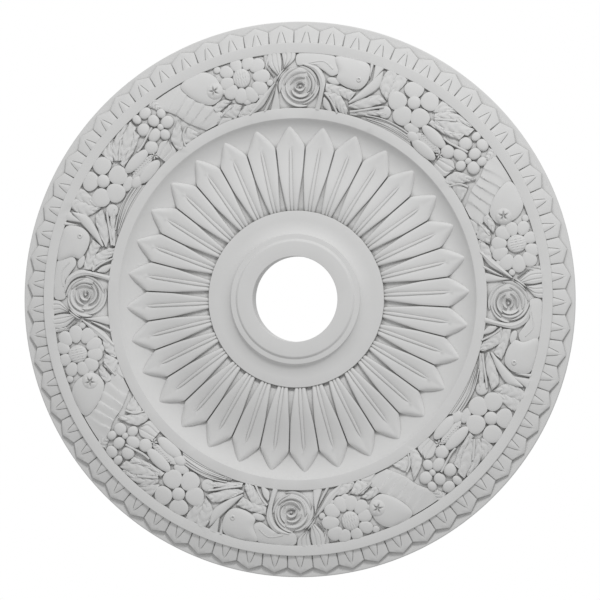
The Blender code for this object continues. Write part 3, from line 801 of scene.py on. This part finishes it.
base = toObject(turnedBody(), "turnedBody")
print("turned body:", len(base.data.vertices), "points")
solids = ringOf(petal["count"], petal["firstAngle"], onePetal)
solids += ringOf(border["count"], border["firstAngle"], borderLeaf) + garlandSolids()
print("relief solids:", len(solids))
mesh = fuse(base, solids, "relief")
mesh.transform(Matrix.Scale(mm, 4))
rose = bpy.data.objects.new("ceilingRose", mesh)
bpy.context.scene.collection.objects.link(rose)
mesh.shade_smooth()
mesh.set_sharp_from_angle(angle=math.radians(section["sharpAngle"]))
print("ceiling rose:", counted(mesh), "triangles")

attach(rose, "root")
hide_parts("ceiling_rose")


# Materials

# The dark crevice colour and its share are painted shade, laid into narrow crevices where shade falls
primer = {
    "white": (0.80, 0.80, 0.797, 1), "thin": (0.755, 0.755, 0.75, 1), "paintedShade": (0.30, 0.298, 0.292, 1),
    "mottleScale": 34, "stippleScale": 1100, "stippleHeight": 0.00003, "pitScale": 330,
    "pitRange": (0.02, 0.12), "roughness": (0.62, 0.82), "specular": 0.3,
    "creviceReach": 0.005, "creviceRange": (0.8, 0.25), "paintedShadeShare": 0.8,
}


def wire(tree, start, output, end, socket):
    tree.links.new(start.outputs[output], end.inputs[socket])


# Sprayed primer: cloudy thickness, a fine stipple and a few pinholes
def sprayedCoat():
    tree = bpy.data.node_groups.new("sprayedCoat", "ShaderNodeTree")
    for name in ("Cloud", "Height"):
        tree.interface.new_socket(name=name, in_out="OUTPUT", socket_type="NodeSocketFloat")
    out = tree.nodes.new("NodeGroupOutput")
    place = tree.nodes.new("ShaderNodeTexCoord")
    cloud = tree.nodes.new("ShaderNodeTexNoise")
    cloud.inputs["Scale"].default_value = primer["mottleScale"]
    cloud.inputs["Detail"].default_value = 4
    stipple = tree.nodes.new("ShaderNodeTexNoise")
    stipple.inputs["Scale"].default_value = primer["stippleScale"]
    stipple.inputs["Detail"].default_value = 2
    pits = tree.nodes.new("ShaderNodeTexVoronoi")
    pits.inputs["Scale"].default_value = primer["pitScale"]
    pitShape = tree.nodes.new("ShaderNodeMapRange")
    pitShape.inputs["From Min"].default_value, pitShape.inputs["From Max"].default_value = primer["pitRange"]
    both = tree.nodes.new("ShaderNodeMath")
    both.operation = "MULTIPLY"
    for texture in (cloud, stipple, pits):
        wire(tree, place, "Object", texture, "Vector")
    wire(tree, pits, "Distance", pitShape, "Value")
    wire(tree, pitShape, "Result", both, 0)
    wire(tree, stipple, "Fac", both, 1)
    wire(tree, cloud, "Fac", out, "Cloud")
    wire(tree, both, "Value", out, "Height")
    return tree


# Mask for painted shade: 1 in narrow crevices, 0 on open faces
def paintedShadeMask():
    tree = bpy.data.node_groups.new("paintedShadeMask", "ShaderNodeTree")
    tree.interface.new_socket(name="Mask", in_out="OUTPUT", socket_type="NodeSocketFloat")
    out = tree.nodes.new("NodeGroupOutput")
    hollow = tree.nodes.new("ShaderNodeAmbientOcclusion")
    hollow.samples = 8
    hollow.inputs["Distance"].default_value = primer["creviceReach"]
    mask = tree.nodes.new("ShaderNodeMapRange")
    mask.inputs["From Min"].default_value, mask.inputs["From Max"].default_value = primer["creviceRange"]
    wire(tree, hollow, "AO", mask, "Value")
    wire(tree, mask, "Result", out, "Mask")
    return tree


def primedCasting():
    material = bpy.data.materials.new("mattWhitePrimer")
    material.use_nodes = True
    tree = material.node_tree
    shader = tree.nodes["Principled BSDF"]
    shader.inputs["Specular IOR Level"].default_value = primer["specular"]
    coat = tree.nodes.new("ShaderNodeGroup")
    coat.node_tree = sprayedCoat()
    crevice = tree.nodes.new("ShaderNodeGroup")
    crevice.node_tree = paintedShadeMask()
    colour = tree.nodes.new("ShaderNodeMix")
    colour.data_type = "RGBA"
    colour.inputs["A"].default_value = primer["thin"]
    colour.inputs["B"].default_value = primer["white"]
    # Painted shade: the primer colour is darkened towards the dark crevice colour where the mask finds
    # narrow crevices
    paintedShadeMix = tree.nodes.new("ShaderNodeMix")
    paintedShadeMix.data_type = "RGBA"
    paintedShadeMix.inputs["B"].default_value = primer["paintedShade"]
    share = tree.nodes.new("ShaderNodeMath")
    share.operation = "MULTIPLY"
    share.inputs[1].default_value = primer["paintedShadeShare"]
    rough = tree.nodes.new("ShaderNodeMapRange")
    rough.inputs["To Min"].default_value, rough.inputs["To Max"].default_value = primer["roughness"]
    bump = tree.nodes.new("ShaderNodeBump")
    bump.inputs["Distance"].default_value = primer["stippleHeight"]
    wire(tree, coat, "Cloud", colour, "Factor")
    wire(tree, coat, "Cloud", rough, "Value")
    wire(tree, coat, "Height", bump, "Height")
    wire(tree, crevice, "Mask", share, 0)
    wire(tree, share, "Value", paintedShadeMix, "Factor")
    wire(tree, colour, "Result", paintedShadeMix, "A")
    wire(tree, paintedShadeMix, "Result", shader, "Base Color")
    wire(tree, rough, "Result", shader, "Roughness")
    wire(tree, bump, "Normal", shader, "Normal")
    return material


mesh.materials.clear()
mesh.materials.append(primedCasting())
print("primer applied")


# Camera, floor and light

view = {
    "distance": 5.0, "towardRight": 7.5, "towardBottom": 0.6, "photoWidth": 0.648,
    "originPixel": (298.2, 299.25), "photoSize": 600, "sensorWidth": 36,
}


def addCamera():
    right, down = math.radians(view["towardRight"]), math.radians(view["towardBottom"])
    away = Vector((math.sin(right), math.sin(down), -1)).normalized()
    data = bpy.data.cameras.new("camera")
    camera = bpy.data.objects.new("camera", data)
    bpy.context.scene.collection.objects.link(camera)
    forward = -away
    side = Vector((1, 0, 0))
    side = (side - forward * side.dot(forward)).normalized()
    up = side.cross(forward)
    perPixel = view["photoWidth"] / view["photoSize"]
    middle = view["photoSize"] / 2
    originX, originY = view["originPixel"]
    aim = side * (middle - originX) * perPixel - up * (middle - originY) * perPixel
    spot = aim + away * view["distance"]
    camera.matrix_world = Matrix((
        (side.x, up.x, -forward.x, spot.x), (side.y, up.y, -forward.y, spot.y),
        (side.z, up.z, -forward.z, spot.z), (0, 0, 0, 1)))
    data.sensor_width = view["sensorWidth"]
    data.lens = view["sensorWidth"] * view["distance"] / view["photoWidth"]
    bpy.context.scene.camera = camera


# Lights stand in the room, below the rose, and the key is on the side shown at the photo's top
studio = {
    "floorDepth": 9, "floorHalf": 30, "floorColour": (0.88, 0.88, 0.88, 1), "floorRoughness": 0.9,
    "skyLight": 0.46, "skySeen": 1.0,
    "key": ((0.75, -2.45, -2.6), 0.8, 57), "back": ((-0.8, -1.6, 2.8), 1.5, 22),
}


def addFloor():
    bm = bmesh.new()
    bmesh.ops.create_grid(bm, x_segments=1, y_segments=1, size=studio["floorHalf"])
    bmesh.ops.translate(bm, vec=(0, 0, -studio["floorDepth"]), verts=bm.verts)
    floor = toObject(bm, "floor")
    bpy.context.scene.collection.objects.link(floor)
    material = bpy.data.materials.new("paleFloor")
    material.use_nodes = True
    shader = material.node_tree.nodes["Principled BSDF"]
    shader.inputs["Base Color"].default_value = studio["floorColour"]
    shader.inputs["Roughness"].default_value = studio["floorRoughness"]
    floor.data.materials.append(material)


def addLight(name, spot, size, power):
    data = bpy.data.lights.new(name, "AREA")
    data.size = size
    data.energy = power
    light = bpy.data.objects.new(name, data)
    light.location = spot
    light.rotation_euler = (-Vector(spot)).to_track_quat("-Z", "Y").to_euler()
    bpy.context.scene.collection.objects.link(light)


def addSky():  # white where the camera sees it, softer where it lights the rose
    world = bpy.data.worlds.new("studio")
    world.use_nodes = True
    tree = world.node_tree
    sky = tree.nodes["Background"]
    sky.inputs["Color"].default_value = (1, 1, 1, 1)
    ray = tree.nodes.new("ShaderNodeLightPath")
    strength = tree.nodes.new("ShaderNodeMapRange")
    strength.inputs["To Min"].default_value = studio["skyLight"]
    strength.inputs["To Max"].default_value = studio["skySeen"]
    wire(tree, ray, "Is Camera Ray", strength, "Value")
    wire(tree, strength, "Result", sky, "Strength")
    bpy.context.scene.world = world


addCamera()
addFloor()
addLight("keyLight", *studio["key"])
addLight("backLight", *studio["back"])
addSky()
bpy.context.scene.view_settings.view_transform = "Standard"
print("camera, floor and light set")
